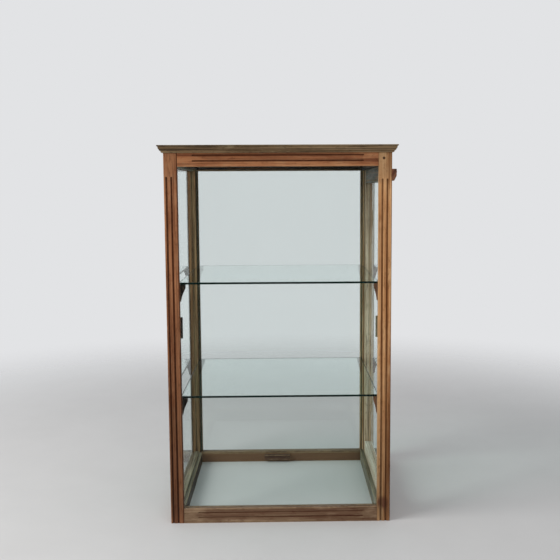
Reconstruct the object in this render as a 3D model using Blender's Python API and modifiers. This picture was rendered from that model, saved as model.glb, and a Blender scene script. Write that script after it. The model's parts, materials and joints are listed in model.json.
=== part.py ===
"""Glass display showcase: a wooden four-post case glazed on all sides, open underneath, with a framed
glass door in its right side, a moulded top and two loose glass shelves on corbels.

Metres, +Z up. The origin is on the floor under the middle of the case, -Y is the front and +X the right.
Run with blender --background --python part.py, or from the text editor.
"""

import math

import bmesh
import bpy
from mathutils import Matrix, Vector

MM = 0.001

# Driving dimensions of the case
WIDTH = 550 * MM
DEPTH = 494 * MM
FRAME_HEIGHT = 921 * MM
TOP_THICKNESS = 18 * MM
OVERHANG = 13.7 * MM
CORNICE_FILLET = (4.5 * MM, 2.6 * MM)
CORNICE_STEP = 2.3 * MM
CORNICE_BAND = 3 * MM
CORNICE_BULGE = 1.9 * MM
CORNICE_EDGE = 0.5 * MM
POST = 32.5 * MM
TOP_RAIL = 33 * MM
BOTTOM_RAIL = 38 * MM
REAR_BOTTOM_RAIL = 32 * MM
REAR_BOTTOM_DEPTH = 23 * MM

# Glazing
LIP = 12 * MM
REBATE = 5 * MM
PANE = 3 * MM
BEAD_DEPTH = 7 * MM
BEAD_HEIGHT = 4 * MM

# Shelves and what carries them
SHELF = 5 * MM
SHELF_LEVELS = {"upper": 604.3 * MM, "lower": 319.7 * MM}
SHELF_CLEARANCE = 1 * MM
CORBEL_REACH = {"left": 17.2 * MM, "right": 13.6 * MM}
CORBEL_HEIGHT = 42 * MM
CORBEL_NOSE = 9.5 * MM
CORBEL_FOOT = 6 * MM
CLEAT_REACH = 8.7 * MM
CLEAT_DEPTH = 7 * MM
CLEAT_SPAN = (468 * MM, 520.5 * MM)
BLOCK_SIZE = (78 * MM, 12 * MM, 15 * MM)
BLOCK_CENTRE_X = -13 * MM
BLOCK_BOTTOM = 8.5 * MM

# Door in the right side
DOOR_THICKNESS = 22 * MM
DOOR_LIP = 8 * MM
DOOR_LAP = 6 * MM
DOOR_STILE = 37 * MM
DOOR_TOP_RAIL = 43 * MM
DOOR_BOTTOM_RAIL = 41 * MM
DOOR_GAP = 1 * MM
DOOR_FREE_GAP = 1.4 * MM

# Butt hinges on the door's rear edge
HINGE_LEVELS = {"upper": 745 * MM, "lower": 180 * MM}
HINGE_HEIGHT = 50 * MM
LEAF_WIDTH = 19 * MM
LEAF = 1.2 * MM
BARREL_RADIUS = 3 * MM
BARREL_STAND_OFF = 3.5 * MM
KNUCKLE_INSET = 0.5 * MM
PIN_RADIUS = 1.2 * MM
RUNNING_CLEARANCE = 0.05 * MM

# Turn button on the front right post
BUTTON_SIZE = (12 * MM, 11 * MM, 29 * MM)
BUTTON_PIVOT = (17 * MM, 874.5 * MM)
BUTTON_ABOVE_PIVOT = 7 * MM
BUTTON_CHAMFER = (6 * MM, 12 * MM)
SCREW_RADIUS = 1.6 * MM
SCREW_HEAD_RADIUS = 3.6 * MM
SCREW_DOME = 0.9 * MM
SCREW_POINT = 2 * MM
SCREW_BITE = 13 * MM
PEG_RADIUS = 2.2 * MM
PEG_LENGTH = 14 * MM
PEG_PLACE = (20 * MM, 907 * MM)

# Flutes and grooves
FLUTE_RADIUS = 2.6 * MM
FLUTE_SPACING = 12 * MM
FLUTE_CENTRE = {"left": 12.4 * MM, "right": 17 * MM}
FLUTE_TOP = {"left": 864 * MM, "right": 858 * MM}
GROOVE_RADIUS = 2.2 * MM
GROOVE_STOP = 68 * MM
TOP_GROOVES = (915 * MM, 901.5 * MM)
BOTTOM_GROOVES = (27 * MM, 14.5 * MM)

GAP = 0.3 * MM
ROUND_STEPS = 24
ARC_STEPS = 8

RIGHT_STOP = DOOR_THICKNESS + GAP
POST_DOOR_FACE = POST - DOOR_LAP
SEAT = POST - REBATE
HALF_WIDTH = WIDTH / 2
HALF_DEPTH = DEPTH / 2
DOOR_TOP = FRAME_HEIGHT - TOP_RAIL + DOOR_LAP - DOOR_GAP
DOOR_BOTTOM = BOTTOM_RAIL - DOOR_LAP + DOOR_GAP
DOOR_REAR = HALF_DEPTH - POST_DOOR_FACE - DOOR_GAP
DOOR_FRONT = -HALF_DEPTH + POST_DOOR_FACE + DOOR_FREE_GAP
HINGE_AXIS = (HALF_WIDTH + BARREL_STAND_OFF, DOOR_REAR + DOOR_GAP / 2)

SIDES = ("front", "rear", "left", "right")
FIXED_SIDES = ("front", "rear", "left")


# Scene and materials

def clear_scene():
    for obj in list(bpy.data.objects):
        bpy.data.objects.remove(obj, do_unlink=True)


def new_collection(name):
    collection = bpy.data.collections.new(name)
    bpy.context.scene.collection.children.link(collection)
    return collection


def new_material(name, colour, roughness, metallic=0.0, transmission=0.0):
    material = bpy.data.materials.new(name)
    material.use_nodes = True
    shader = material.node_tree.nodes["Principled BSDF"]
    shader.inputs["Base Color"].default_value = (*colour, 1.0)
    shader.inputs["Roughness"].default_value = roughness
    shader.inputs["Metallic"].default_value = metallic
    shader.inputs["Transmission Weight"].default_value = transmission
    return material


def place(name, mesh, material, location=(0, 0, 0)):
    """An object of this mesh in the showcase's collection."""
    obj = bpy.data.objects.new(name, mesh)
    mesh.materials.clear()
    mesh.materials.append(material)
    obj.location = location
    parts.objects.link(obj)
    return obj


def as_tool(obj):
    """Makes the object a helper, which shapes others and is no part itself."""
    for collection in list(obj.users_collection):
        collection.objects.unlink(obj)
    tools.objects.link(obj)
    obj.hide_render = True
    obj.display_type = "WIRE"
    return obj


def boolean(obj, tool, operation="DIFFERENCE"):
    modifier = obj.modifiers.new(tool.name, "BOOLEAN")
    modifier.operation = operation
    modifier.solver = "EXACT"
    modifier.object = tool
    return obj


# Shapes

def half_of(side, across=False):
    """Half the case's size along one of its sides, or across it."""
    return HALF_WIDTH if (side in ("front", "rear")) != across else HALF_DEPTH


def box(name, low, high, material):
    low = Vector(low)
    high = Vector(high)
    bm = bmesh.new()
    bmesh.ops.create_cube(bm, size=1)
    bmesh.ops.scale(bm, vec=high - low, verts=bm.verts)
    mesh = bpy.data.meshes.new(name)
    bm.to_mesh(mesh)
    bm.free()
    return place(name, mesh, material, (low + high) / 2)


def side_box(name, side, along, inward, heights, material):
    """A box given along one side of the case, inward from that side's outer face, and in height."""
    (a0, a1), (d0, d1), (z0, z1) = along, inward, heights
    half = half_of(side, across=True)
    c0, c1 = (d0 - half, d1 - half) if side in ("front", "left") else (half - d1, half - d0)
    if side in ("front", "rear"):
        return box(name, (a0, c0, z0), (a1, c1, z1), material)
    return box(name, (c0, a0, z0), (c1, a1, z1), material)


def prism(name, outline, thickness, material, matrix=Matrix()):
    """A flat outline with an even thickness, half to each side of its plane, then set by the matrix."""
    curve = bpy.data.curves.new(name, "CURVE")
    curve.dimensions = "2D"
    curve.fill_mode = "BOTH"
    curve.extrude = thickness / 2
    spline = curve.splines.new("POLY")
    spline.points.add(len(outline) - 1)
    for point, (x, y) in zip(spline.points, outline):
        point.co = (x, y, 0, 1)
    spline.use_cyclic_u = True
    drawn = bpy.data.objects.new(name + "_outline", curve)
    parts.objects.link(drawn)
    graph = bpy.context.evaluated_depsgraph_get()
    mesh = bpy.data.meshes.new_from_object(drawn.evaluated_get(graph))
    bpy.data.objects.remove(drawn)
    bm = bmesh.new()
    bm.from_mesh(mesh)
    bmesh.ops.remove_doubles(bm, verts=bm.verts, dist=0.01 * MM)
    bmesh.ops.transform(bm, matrix=matrix.to_3x3().to_4x4(), verts=bm.verts)
    bmesh.ops.recalc_face_normals(bm, faces=bm.faces)
    bm.to_mesh(mesh)
    bm.free()
    return place(name, mesh, material, matrix.translation)


def facing_front(centre):
    """A matrix that stands a prism's outline upright, seen from the front, at this place."""
    return Matrix.Translation(centre) @ Matrix.Rotation(math.pi / 2, 4, "X")


def turned(name, profile, material, location, rotation=(0, 0, 0)):
    """A round piece about its local Z, from (radius, height) points running from the top down the outside."""
    mesh = bpy.data.meshes.new(name)
    edges = [(i, i + 1) for i in range(len(profile) - 1)]
    mesh.from_pydata([(radius, 0, height) for radius, height in profile], edges, [])
    obj = place(name, mesh, material, location)
    obj.rotation_euler = rotation
    screw = obj.modifiers.new("Turn", "SCREW")
    screw.steps = screw.render_steps = ROUND_STEPS
    screw.use_merge_vertices = True
    screw.merge_threshold = 0.01 * MM
    screw.use_smooth_shade = True
    return obj


def rod(name, radius, length, material, location, rotation=(0, 0, 0)):
    """A plain cylinder, centred on its location."""
    profile = [(0, length / 2), (radius, length / 2), (radius, -length / 2), (0, -length / 2)]
    return turned(name, profile, material, location, rotation)


def round_groove(name, radius, start, end):
    """A cutter for a straight groove of half-round section with rounded ends."""
    start = Vector(start)
    run = Vector(end) - start
    bm = bmesh.new()
    bmesh.ops.create_uvsphere(bm, u_segments=16, v_segments=9, radius=radius)
    stretched = [vert for vert in bm.verts if vert.co.z > 0]
    bmesh.ops.translate(bm, vec=(0, 0, run.length), verts=stretched)
    mesh = bpy.data.meshes.new(name)
    bm.to_mesh(mesh)
    bm.free()
    cutter = place(name, mesh, wood_dark, start)
    cutter.rotation_euler = run.to_track_quat("Z", "Y").to_euler()
    return as_tool(cutter)


def cut_round_hole(obj, radius, centre, length, rotation=(0, 0, 0)):
    """Cuts a hole as deep as half the length if it is centred on a face."""
    cutter = rod(obj.name + "_hole", radius, length, wood_dark, centre, rotation)
    return boolean(obj, as_tool(cutter))


# Case frame

def post_outline(right):
    """The section of a post, as distances in from the case's side and from its front or rear face."""
    glazed_edge = [(0, 0), (POST, 0), (POST, LIP), (SEAT, LIP)]
    if right:
        door_edge = [(SEAT, POST), (RIGHT_STOP, POST), (RIGHT_STOP, POST_DOOR_FACE), (0, POST_DOOR_FACE)]
        return glazed_edge + door_edge
    return glazed_edge + [(SEAT, SEAT), (LIP, SEAT), (LIP, POST), (0, POST)]


def post(end, side):
    sx = 1 if side == "right" else -1
    sy = 1 if end == "rear" else -1
    outline = [(sx * (HALF_WIDTH - u), sy * (HALF_DEPTH - v)) for u, v in post_outline(side == "right")]
    middle = Matrix.Translation((0, 0, FRAME_HEIGHT / 2))
    obj = prism(f"post_{end}_{side}", outline, FRAME_HEIGHT, wood_red, middle)
    if end == "front":
        flute_post(obj, sx * (HALF_WIDTH - FLUTE_CENTRE[side]), FLUTE_TOP[side])
    return obj


def flute_post(obj, centre_x, height):
    """Two flutes on the front face that stop at a height and run out at the floor."""
    top = height - FLUTE_RADIUS
    for number, offset in enumerate((-FLUTE_SPACING / 2, FLUTE_SPACING / 2), start=1):
        x = centre_x + offset
        bottom = -2 * FLUTE_RADIUS
        name = f"{obj.name}_flute_{number}"
        boolean(obj, round_groove(name, FLUTE_RADIUS, (x, -HALF_DEPTH, bottom), (x, -HALF_DEPTH, top)))


def bottom_rail_height(side):
    """The rear bottom rail is lower than the other three."""
    return REAR_BOTTOM_RAIL if side == "rear" else BOTTOM_RAIL


def rail(side, level):
    """A rail between two posts: a full-depth core, a lip that the pane or the door closes against, and
    shoulders that reach into the posts' rebates."""
    half = half_of(side)
    between_posts = half - POST - GAP
    if side == "right":
        core = DOOR_LAP
        lip = (RIGHT_STOP, POST)
        shoulder = (0, DOOR_THICKNESS)
        shoulder_end = half - POST_DOOR_FACE - GAP
    else:
        core = REBATE
        lip = (0, LIP)
        shoulder = (LIP + GAP, SEAT - GAP if side == "left" else POST)
        shoulder_end = half - SEAT - GAP
    depth = POST
    if level == "bottom":
        full = (0, bottom_rail_height(side))
        seat = (0, bottom_rail_height(side) - core)
        if side == "rear":
            depth = REAR_BOTTOM_DEPTH
            shoulder = (LIP + GAP, REAR_BOTTOM_DEPTH)
    else:
        full = (FRAME_HEIGHT - TOP_RAIL, FRAME_HEIGHT)
        seat = (FRAME_HEIGHT - TOP_RAIL + core, FRAME_HEIGHT)
    name = f"{side}_{level}_rail"
    obj = side_box(name, side, (-between_posts, between_posts), (0, depth), seat, wood_red)
    ends = side_box(name + "_shoulders", side, (-shoulder_end, shoulder_end), shoulder, seat, wood_red)
    edge = side_box(name + "_lip", side, (-between_posts, between_posts), lip, full, wood_red)
    boolean(obj, as_tool(ends), "UNION")
    boolean(obj, as_tool(edge), "UNION")
    if side == "front":
        groove_rail(obj, TOP_GROOVES if level == "top" else BOTTOM_GROOVES)
    return obj


def groove_rail(obj, heights):
    reach = HALF_WIDTH - GROOVE_STOP - GROOVE_RADIUS
    for number, z in enumerate(heights, start=1):
        name = f"{obj.name}_groove_{number}"
        boolean(obj, round_groove(name, GROOVE_RADIUS, (-reach, -HALF_DEPTH, z), (reach, -HALF_DEPTH, z)))


def top_board():
    box("top_board", (-HALF_WIDTH, -HALF_DEPTH, FRAME_HEIGHT + GAP),
        (HALF_WIDTH, HALF_DEPTH, FRAME_HEIGHT + TOP_THICKNESS), wood_olive)


def cornice_outline():
    """The moulding's section, as (distance out from the case, height above the frame): a small fillet,
    a flat ovolo and a thin band that overhangs it at the top."""
    start = Vector(CORNICE_FILLET)
    end = Vector((OVERHANG - CORNICE_STEP, TOP_THICKNESS - CORNICE_BAND))
    chord = (end - start).normalized()
    bulge = Vector((chord.y, -chord.x)) * CORNICE_BULGE
    points = [(GAP, GAP), (CORNICE_FILLET[0], GAP)]
    for step in range(ARC_STEPS + 1):
        t = step / ARC_STEPS
        points.append(tuple(start.lerp(end, t) + bulge * 4 * t * (1 - t)))
    points += [(OVERHANG, TOP_THICKNESS - CORNICE_BAND), (OVERHANG, TOP_THICKNESS - CORNICE_EDGE)]
    points += [(OVERHANG - CORNICE_EDGE, TOP_THICKNESS), (GAP, TOP_THICKNESS)]
    return points


def cornice(side):
    """One length of the moulding on its side of the top: its section drawn on both mitres, then bridged."""
    half = half_of(side)
    across = half_of(side, across=True)
    bm = bmesh.new()
    for sign in (-1, 1):
        mitre = []
        for out, up in cornice_outline():
            mitre.append(bm.verts.new((sign * (half + out - GAP), -across - out, FRAME_HEIGHT + up)))
        bm.faces.new(mitre)
    bmesh.ops.bridge_loops(bm, edges=list(bm.edges))
    turns = {"front": 0, "right": 1, "rear": 2, "left": 3}
    bmesh.ops.rotate(bm, matrix=Matrix.Rotation(turns[side] * math.pi / 2, 3, "Z"), verts=bm.verts)
    bmesh.ops.recalc_face_normals(bm, faces=bm.faces)
    mesh = bpy.data.meshes.new(f"cornice_{side}")
    bm.to_mesh(mesh)
    bm.free()
    return place(f"cornice_{side}", mesh, wood_olive)


# Glazing of the three fixed sides

def fixed_pane(side):
    edge = half_of(side) - SEAT - 2 * GAP
    heights = (bottom_rail_height(side) - REBATE + GAP, FRAME_HEIGHT - TOP_RAIL + REBATE - GAP)
    side_box(f"{side}_glass", side, (-edge, edge), (LIP + GAP, LIP + GAP + PANE), heights, glass)
    inward = (LIP + PANE + 2 * GAP, LIP + PANE + 2 * GAP + BEAD_DEPTH)
    for level, low in (("bottom", heights[0]), ("top", heights[1] - BEAD_HEIGHT)):
        name = f"{side}_glass_bead_{level}"
        side_box(name, side, (-edge, edge), inward, (low, low + BEAD_HEIGHT), wood_dark)


# Shelves and their supports

def corbel_outline(reach):
    """Seen from the front, as (distance out from the post, height below the shelf): a blunt nose over a
    hollow underside."""
    points = [(GAP, 0), (reach, 0)]
    for step in range(ARC_STEPS + 1):
        t = step / ARC_STEPS
        points.append((CORBEL_FOOT + (reach - CORBEL_FOOT) * (1 - t) ** 1.5,
                       -CORBEL_NOSE - (CORBEL_HEIGHT - CORBEL_NOSE) * t))
    return points + [(GAP, -CORBEL_HEIGHT)]


def corbel(level, end, side):
    sx = 1 if side == "right" else -1
    sy = 1 if end == "rear" else -1
    thickness = SEAT - LIP - PANE - 2 * GAP
    top = SHELF_LEVELS[level] - SHELF / 2 - GAP
    face = HALF_WIDTH - SEAT
    outline = [(sx * (face - out), up) for out, up in corbel_outline(CORBEL_REACH[side])]
    centre = (0, sy * (HALF_DEPTH - SEAT + thickness / 2), top)
    prism(f"corbel_{level}_{end}_{side}", outline, thickness, wood_dark, facing_front(centre))


def shelf(level):
    half_x = HALF_WIDTH - SEAT - SHELF_CLEARANCE
    half_y = HALF_DEPTH - LIP - PANE - GAP - SHELF_CLEARANCE
    z = SHELF_LEVELS[level]
    box(f"{level}_shelf", (-half_x, -half_y, z - SHELF / 2), (half_x, half_y, z + SHELF / 2), shelf_glass)


def pane_cleat(side):
    """A strip on the front post that keeps the front pane in its rebate at mid height."""
    sx = 1 if side == "right" else -1
    face = HALF_WIDTH - SEAT - GAP
    xs = sorted((sx * face, sx * (face - CLEAT_REACH)))
    y = LIP + PANE + 2 * GAP - HALF_DEPTH
    box(f"pane_cleat_{side}", (xs[0], y, CLEAT_SPAN[0]), (xs[1], y + CLEAT_DEPTH, CLEAT_SPAN[1]), wood_dark)


def base_block():
    """A block on the inside of the rear rail that once carried a base board."""
    width, depth, height = BLOCK_SIZE
    side_box("base_block", "rear", (BLOCK_CENTRE_X - width / 2, BLOCK_CENTRE_X + width / 2),
             (REAR_BOTTOM_DEPTH + GAP, REAR_BOTTOM_DEPTH + GAP + depth),
             (BLOCK_BOTTOM, BLOCK_BOTTOM + height), wood_dark)


# Door

def door_box(name, ys, inward, zs, material):
    return side_box(name, "right", ys, inward, zs, material)


def door_stile(end):
    """An upright of the door: a full-thickness bar with a lip outside the glass."""
    if end == "front":
        bar = (DOOR_FRONT, DOOR_FRONT + DOOR_STILE - REBATE)
        lip = (DOOR_FRONT, DOOR_FRONT + DOOR_STILE)
    else:
        bar = (DOOR_REAR - DOOR_STILE + REBATE, DOOR_REAR)
        lip = (DOOR_REAR - DOOR_STILE, DOOR_REAR)
    heights = (DOOR_BOTTOM, DOOR_TOP)
    obj = door_box(f"door_{end}_stile", bar, (GAP, DOOR_THICKNESS), heights, wood_red)
    edge = door_box(f"door_{end}_stile_lip", lip, (GAP, DOOR_LIP), heights, wood_red)
    return boolean(obj, as_tool(edge), "UNION")


def door_rail(level):
    """A rail of the door between its stiles, with the same lip and shoulders into the stiles' rebates."""
    ys = (DOOR_FRONT + DOOR_STILE + GAP, DOOR_REAR - DOOR_STILE - GAP)
    shoulder_ys = (ys[0] - REBATE, ys[1] + REBATE)
    if level == "top":
        lip = (DOOR_TOP - DOOR_TOP_RAIL, DOOR_TOP)
        bar = (DOOR_TOP - DOOR_TOP_RAIL + REBATE, DOOR_TOP)
    else:
        lip = (DOOR_BOTTOM, DOOR_BOTTOM + DOOR_BOTTOM_RAIL)
        bar = (DOOR_BOTTOM, DOOR_BOTTOM + DOOR_BOTTOM_RAIL - REBATE)
    behind_glass = (DOOR_LIP + GAP, DOOR_THICKNESS)
    obj = door_box(f"door_{level}_rail", ys, (GAP, DOOR_THICKNESS), bar, wood_red)
    edge = door_box(f"door_{level}_rail_lip", ys, (GAP, DOOR_LIP), lip, wood_red)
    shoulders = door_box(f"door_{level}_rail_shoulders", shoulder_ys, behind_glass, bar, wood_red)
    boolean(obj, as_tool(edge), "UNION")
    return boolean(obj, as_tool(shoulders), "UNION")


def door_glazing():
    y0 = DOOR_FRONT + DOOR_STILE - REBATE + GAP
    y1 = DOOR_REAR - DOOR_STILE + REBATE - GAP
    z0 = DOOR_BOTTOM + DOOR_BOTTOM_RAIL - REBATE + GAP
    z1 = DOOR_TOP - DOOR_TOP_RAIL + REBATE - GAP
    door_box("door_glass", (y0, y1), (DOOR_LIP + GAP, DOOR_LIP + GAP + PANE), (z0, z1), glass)
    inward = (DOOR_LIP + PANE + 2 * GAP, DOOR_THICKNESS)
    door_box("door_bead_bottom", (y0, y1), inward, (z0, z0 + BEAD_HEIGHT), wood_dark)
    door_box("door_bead_top", (y0, y1), inward, (z1 - BEAD_HEIGHT, z1), wood_dark)
    upright = (z0 + BEAD_HEIGHT + GAP, z1 - BEAD_HEIGHT - GAP)
    door_box("door_bead_front", (y0, y0 + BEAD_HEIGHT), inward, upright, wood_dark)
    door_box("door_bead_rear", (y1 - BEAD_HEIGHT, y1), inward, upright, wood_dark)


# Hinges

def hinge_leaf(level, of_door):
    """A leaf let into its timber, with its knuckles round the pin: two on the post, one on the door."""
    x_axis, y_axis = HINGE_AXIS
    z = HINGE_LEVELS[level]
    knuckle = HINGE_HEIGHT / 3
    owner = "door" if of_door else "post"
    sign = -1 if of_door else 1
    ys = sorted((y_axis + sign * GAP / 2, y_axis + sign * (GAP / 2 + LEAF)))
    x_plate = x_axis - BARREL_RADIUS - KNUCKLE_INSET
    z0 = z - HINGE_HEIGHT / 2
    name = f"hinge_{level}_{owner}_leaf"
    plate = box(name, (x_plate - LEAF_WIDTH, ys[0], z0), (x_plate, ys[1], z0 + HINGE_HEIGHT), brass)
    for number in ((1,) if of_door else (0, 2)):
        low = z0 + number * knuckle + (0 if number == 0 else GAP)
        high = z0 + (number + 1) * knuckle - (0 if number == 2 else GAP)
        barrel = knuckle_ring(f"{name}_knuckle_{number}", (low + high) / 2, high - low)
        web_xs = (x_plate - LEAF, x_axis - PIN_RADIUS - KNUCKLE_INSET)
        web = box(f"{name}_web_{number}", (web_xs[0], ys[0], low), (web_xs[1], ys[1], high), brass)
        boolean(plate, as_tool(web), "UNION")
        boolean(plate, as_tool(barrel), "UNION")
    return plate


def knuckle_ring(name, z, length):
    """A tube round the hinge axis with a running fit on the pin."""
    bore = PIN_RADIUS + RUNNING_CLEARANCE
    profile = [(bore, length / 2), (BARREL_RADIUS, length / 2), (BARREL_RADIUS, -length / 2),
               (bore, -length / 2), (bore, length / 2)]
    return turned(name, profile, brass, (*HINGE_AXIS, z))


def hinge(level, post_obj, stile_obj):
    z = HINGE_LEVELS[level]
    rod(f"hinge_{level}_pin", PIN_RADIUS, HINGE_HEIGHT + 1 * MM, brass, (*HINGE_AXIS, z))
    for of_door, timber in ((False, post_obj), (True, stile_obj)):
        hinge_leaf(level, of_door)
        sign = -1 if of_door else 1
        ys = sorted((HINGE_AXIS[1], HINGE_AXIS[1] + sign * (GAP / 2 + LEAF + GAP)))
        z_half = HINGE_HEIGHT / 2 + GAP
        x0 = HALF_WIDTH - LEAF_WIDTH - GAP
        x1 = HALF_WIDTH + BARREL_STAND_OFF
        low = (x0, ys[0], z - z_half)
        high = (x1, ys[1], z + z_half)
        boolean(timber, as_tool(box(f"{timber.name}_{level}_recess", low, high, wood_dark)))


# Turn button and peg

def turn_button():
    """A wooden button, long arm down, whose origin is on its screw."""
    depth, width, height = BUTTON_SIZE
    inset, z = BUTTON_PIVOT
    pivot = (HALF_WIDTH + 2 * GAP, inset - HALF_DEPTH, z)
    top = BUTTON_ABOVE_PIVOT
    bottom = top - height
    outline = [(0, top), (depth, top), (depth, bottom + BUTTON_CHAMFER[1]),
               (depth - BUTTON_CHAMFER[0], bottom), (0, bottom)]
    button = prism("turn_button", outline, width, wood_dark, facing_front(pivot))
    return cut_round_hole(button, SCREW_RADIUS + RUNNING_CLEARANCE, pivot, 4 * depth, (0, math.pi / 2, 0))


def button_screw(post_obj):
    depth = BUTTON_SIZE[0]
    inset, z = BUTTON_PIVOT
    head = depth + 3 * GAP
    profile = [(0, head + SCREW_DOME), (SCREW_HEAD_RADIUS * 0.7, head + SCREW_DOME * 0.75),
               (SCREW_HEAD_RADIUS, head), (SCREW_RADIUS, head), (SCREW_RADIUS, SCREW_POINT - SCREW_BITE),
               (0, -SCREW_BITE)]
    place_at = (HALF_WIDTH, inset - HALF_DEPTH, z)
    turned("button_screw", profile, steel, place_at, (0, math.pi / 2, 0))
    cut_round_hole(post_obj, SCREW_RADIUS + GAP, place_at, 2 * (SCREW_BITE + GAP), (0, math.pi / 2, 0))


def joint_peg(post_obj):
    """The peg that pins the front rail's tenon in the right post."""
    inset, z = PEG_PLACE
    x = HALF_WIDTH - inset
    y = -HALF_DEPTH + GAP + PEG_LENGTH / 2
    along_y = (math.pi / 2, 0, 0)
    rod("joint_peg", PEG_RADIUS, PEG_LENGTH, wood_dark, (x, y, z), along_y)
    cut_round_hole(post_obj, PEG_RADIUS + GAP, (x, -HALF_DEPTH, z), 2 * (PEG_LENGTH + 2 * GAP), along_y)


clear_scene()
parts = new_collection("display_showcase")
tools = new_collection("cutters")
wood_red = new_material("wood_red", (0.26, 0.12, 0.06), 0.5)
wood_dark = new_material("wood_dark", (0.11, 0.06, 0.035), 0.6)
wood_olive = new_material("wood_olive", (0.17, 0.13, 0.07), 0.55)
glass = new_material("glass", (0.93, 0.98, 0.95), 0.02, transmission=1.0)
shelf_glass = new_material("shelf_glass", (0.55, 0.75, 0.65), 0.02, transmission=0.9)
brass = new_material("brass", (0.42, 0.30, 0.13), 0.4, metallic=1.0)
steel = new_material("steel", (0.35, 0.33, 0.30), 0.4, metallic=1.0)

posts = {(end, side): post(end, side) for end in ("front", "rear") for side in ("left", "right")}
for case_side in SIDES:
    rail(case_side, "top")
    rail(case_side, "bottom")
    cornice(case_side)
top_board()
for case_side in FIXED_SIDES:
    fixed_pane(case_side)

for shelf_level in SHELF_LEVELS:
    shelf(shelf_level)
    for end in ("front", "rear"):
        for case_side in ("left", "right"):
            corbel(shelf_level, end, case_side)
for case_side in ("left", "right"):
    pane_cleat(case_side)
base_block()

door_stile("front")
hinge_stile = door_stile("rear")
door_rail("top")
door_rail("bottom")
door_glazing()
for hinge_level in HINGE_LEVELS:
    hinge(hinge_level, posts["rear", "right"], hinge_stile)
turn_button()
button_screw(posts["front", "right"])
joint_peg(posts["front", "right"])
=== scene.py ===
import json
import math

import bmesh
import bpy
from mathutils import Matrix, Vector, noise

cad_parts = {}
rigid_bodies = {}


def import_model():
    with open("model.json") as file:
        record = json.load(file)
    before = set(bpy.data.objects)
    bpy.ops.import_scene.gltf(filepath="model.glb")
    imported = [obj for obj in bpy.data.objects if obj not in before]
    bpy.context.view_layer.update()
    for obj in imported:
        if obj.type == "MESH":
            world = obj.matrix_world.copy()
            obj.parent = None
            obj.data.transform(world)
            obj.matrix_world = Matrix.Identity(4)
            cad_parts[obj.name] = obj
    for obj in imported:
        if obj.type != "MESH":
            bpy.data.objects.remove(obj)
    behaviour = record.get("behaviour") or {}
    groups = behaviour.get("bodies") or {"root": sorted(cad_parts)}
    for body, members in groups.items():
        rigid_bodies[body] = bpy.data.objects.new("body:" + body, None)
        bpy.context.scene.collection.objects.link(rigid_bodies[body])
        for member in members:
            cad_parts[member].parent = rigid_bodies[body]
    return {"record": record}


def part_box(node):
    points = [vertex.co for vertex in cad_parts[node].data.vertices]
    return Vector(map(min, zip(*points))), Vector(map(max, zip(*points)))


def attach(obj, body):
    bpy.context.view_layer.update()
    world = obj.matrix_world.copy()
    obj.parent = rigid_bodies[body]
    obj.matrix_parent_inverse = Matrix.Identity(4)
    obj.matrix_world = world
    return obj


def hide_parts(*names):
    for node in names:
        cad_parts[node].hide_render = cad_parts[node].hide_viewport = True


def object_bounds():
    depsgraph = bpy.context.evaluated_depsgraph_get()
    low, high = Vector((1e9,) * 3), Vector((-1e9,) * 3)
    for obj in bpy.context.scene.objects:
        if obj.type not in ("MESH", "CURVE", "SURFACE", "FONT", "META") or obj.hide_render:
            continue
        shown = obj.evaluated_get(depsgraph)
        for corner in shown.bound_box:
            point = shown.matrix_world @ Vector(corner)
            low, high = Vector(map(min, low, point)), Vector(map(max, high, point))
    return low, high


# Looks of the glass display showcase. Each wooden bar is a loft of its own section, with worn arrises,
# and stands for the CAD node of its name. Metres, +Z up, -Y is the front, +X the door's side.

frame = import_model()
cad_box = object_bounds()

MM = 0.001
GAP = 0.3 * MM


def low(node):
    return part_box(node)[0]


def high(node):
    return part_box(node)[1]


# Sizes, read from the CAD nodes
HALF_W = high("post_front_right").x
HALF_D = high("post_rear_right").y
TOP = high("post_front_left").z
POST = high("post_front_left").x + HALF_W
LIP = low("front_glass").y + HALF_D - GAP
DOOR_LIP = HALF_W - high("door_glass").x - GAP
SEAT = HALF_W - high("front_bottom_rail").x - GAP
REBATE = POST - SEAT
STOP = HALF_W - low("door_front_stile").x + GAP
DOOR_EDGE = HALF_D - high("right_bottom_rail").y - GAP
DOOR_LAP = POST - DOOR_EDGE
DOOR_STILE = low("door_top_rail").y + REBATE - GAP - low("door_front_stile").y
HINGE_AXIS = (low("hinge_upper_pin") + high("hinge_upper_pin")) / 2

# Shapes that the CAD gives no box for
FLUTE_RADIUS = 2.6 * MM
FLUTE_SPACING = 12 * MM
FLUTE_CENTRE = {"left": 12.4 * MM, "right": 17 * MM}
FLUTE_TOP = {"left": 864 * MM, "right": 858 * MM}
GROOVE_RADIUS = 2.2 * MM
GROOVE_STOP = 68 * MM
TOP_GROOVES = (915 * MM, 901.5 * MM)
BOTTOM_GROOVES = (27 * MM, 14.5 * MM)
CORBEL_NOSE = 9.5 * MM
CORBEL_FOOT = 6 * MM
BUTTON_CHAMFER = (6 * MM, 12 * MM)
CORNICE_FILLET = (4.5 * MM, 2.6 * MM)
CORNICE_STEP = 2.3 * MM
CORNICE_BAND = 3 * MM
CORNICE_BULGE = 1.9 * MM
CORNICE_QUIRK = 0.8 * MM

ARRIS = 0.9 * MM
SUPPORT = 1.2 * MM
INNER_CORNER = 0.3 * MM
SOILED_CORNER = 1.4 * MM
END_CHAMFER = 0.5 * MM
STATION = 9 * MM
ARC_STEPS = 3
GROOVE_STEPS = 6
HOLLOW_STEPS = 8
EDGE_BAND = 2.4 * MM
DUSTY = 9 * MM
CLEAR = 20 * MM
PANE_STEP = 20 * MM
SEAT_ROOM = 0.1 * MM
FOOT_SMUDGE = 48 * MM
SMOOTH_ANGLE = math.radians(38)

SIDES = ("front", "rear", "left", "right")
ENDS = SIDES[:2]
LEVELS = ("top", "bottom")
CORNERS = [(end, side) for end in ENDS for side in SIDES[2:]]
RECORD = frame["record"]
BODY_OF = {node: body for body, nodes in RECORD["behaviour"]["bodies"].items() for node in nodes}


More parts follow.
